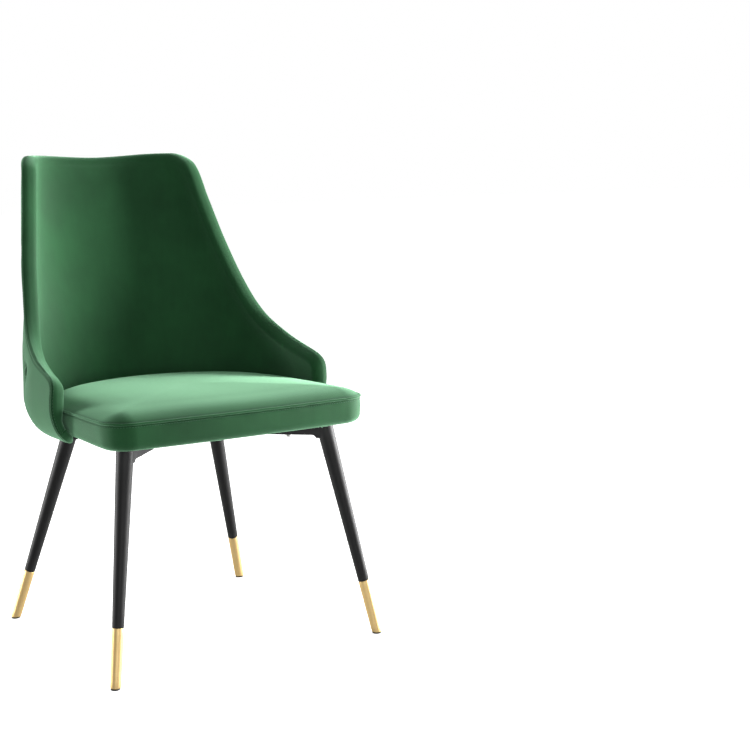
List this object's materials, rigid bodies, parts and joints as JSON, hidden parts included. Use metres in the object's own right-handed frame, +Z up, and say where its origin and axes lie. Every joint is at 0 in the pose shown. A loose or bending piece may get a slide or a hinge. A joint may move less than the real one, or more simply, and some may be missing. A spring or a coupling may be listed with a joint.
{
  "type": "dining chair",
  "caption": "Upholstered dining chair with a wrap-around bucket back, buttoned on its outer face, a crowned seat cushion and splayed tapered metal legs with metal ferrules.",
  "frame": {"origin": "middle of the chair's bounding box in plan, on the floor", "axes": "+Z up, the chair faces -Y, +X is the sitter's left; the left-right mirror plane is X = 0"},
  "size_m": [0.5688, 0.6397, 0.8978],
  "materials": {
    "velvet_green": "short-pile velvet, soft sheen",
    "foam_cream": "open-cell upholstery foam",
    "plywood_birch": "raw moulded plywood",
    "dust_cloth_black": "non-woven dust cloth",
    "painted_steel_black": "satin black powder coat",
    "ferrule_brass": "satin brass-coloured plating",
    "glide_plastic_black": "matt moulded plastic",
    "zinc_fastener": "bright zinc"
  },
  "bodies": {
    "root": {"back_button_01": "velvet_green", "back_button_02": "velvet_green", "back_button_03": "velvet_green", "back_button_04": "velvet_green", "back_button_05": "velvet_green", "back_button_06": "velvet_green", "back_button_07": "velvet_green", "back_button_08": "velvet_green", "back_button_09": "velvet_green", "back_button_10": "velvet_green", "back_button_11": "velvet_green", "back_button_12": "velvet_green", "back_button_13": "velvet_green", "back_button_14": "velvet_green", "back_core": "plywood_birch", "back_inner_foam": "foam_cream", "back_outer_foam": "foam_cream", "back_inner_cover": "velvet_green", "back_outer_cover": "velvet_green", "seat_deck": "plywood_birch", "seat_foam": "foam_cream", "seat_band_cover": "velvet_green", "seat_welt": "velvet_green", "seat_top_cover": "velvet_green", "seat_dust_cover": "dust_cloth_black", "leg_front_left": "painted_steel_black", "ferrule_front_left": "ferrule_brass", "glide_front_left": "glide_plastic_black", "bracket_front_left": "painted_steel_black", "bolt_front_left": "zinc_fastener", "washer_front_left": "zinc_fastener", "insert_nut_front_left": "zinc_fastener", "leg_front_right": "painted_steel_black", "ferrule_front_right": "ferrule_brass", "glide_front_right": "glide_plastic_black", "bracket_front_right": "painted_steel_black", "bolt_front_right": "zinc_fastener", "washer_front_right": "zinc_fastener", "insert_nut_front_right": "zinc_fastener", "leg_rear_left": "painted_steel_black", "ferrule_rear_left": "ferrule_brass", "glide_rear_left": "glide_plastic_black", "bracket_rear_left": "painted_steel_black", "bolt_rear_left": "zinc_fastener", "washer_rear_left": "zinc_fastener", "insert_nut_rear_left": "zinc_fastener", "leg_rear_right": "painted_steel_black", "ferrule_rear_right": "ferrule_brass", "glide_rear_right": "glide_plastic_black", "bracket_rear_right": "painted_steel_black", "bolt_rear_right": "zinc_fastener", "washer_rear_right": "zinc_fastener", "insert_nut_rear_right": "zinc_fastener"}
  },
  "joints": []
}
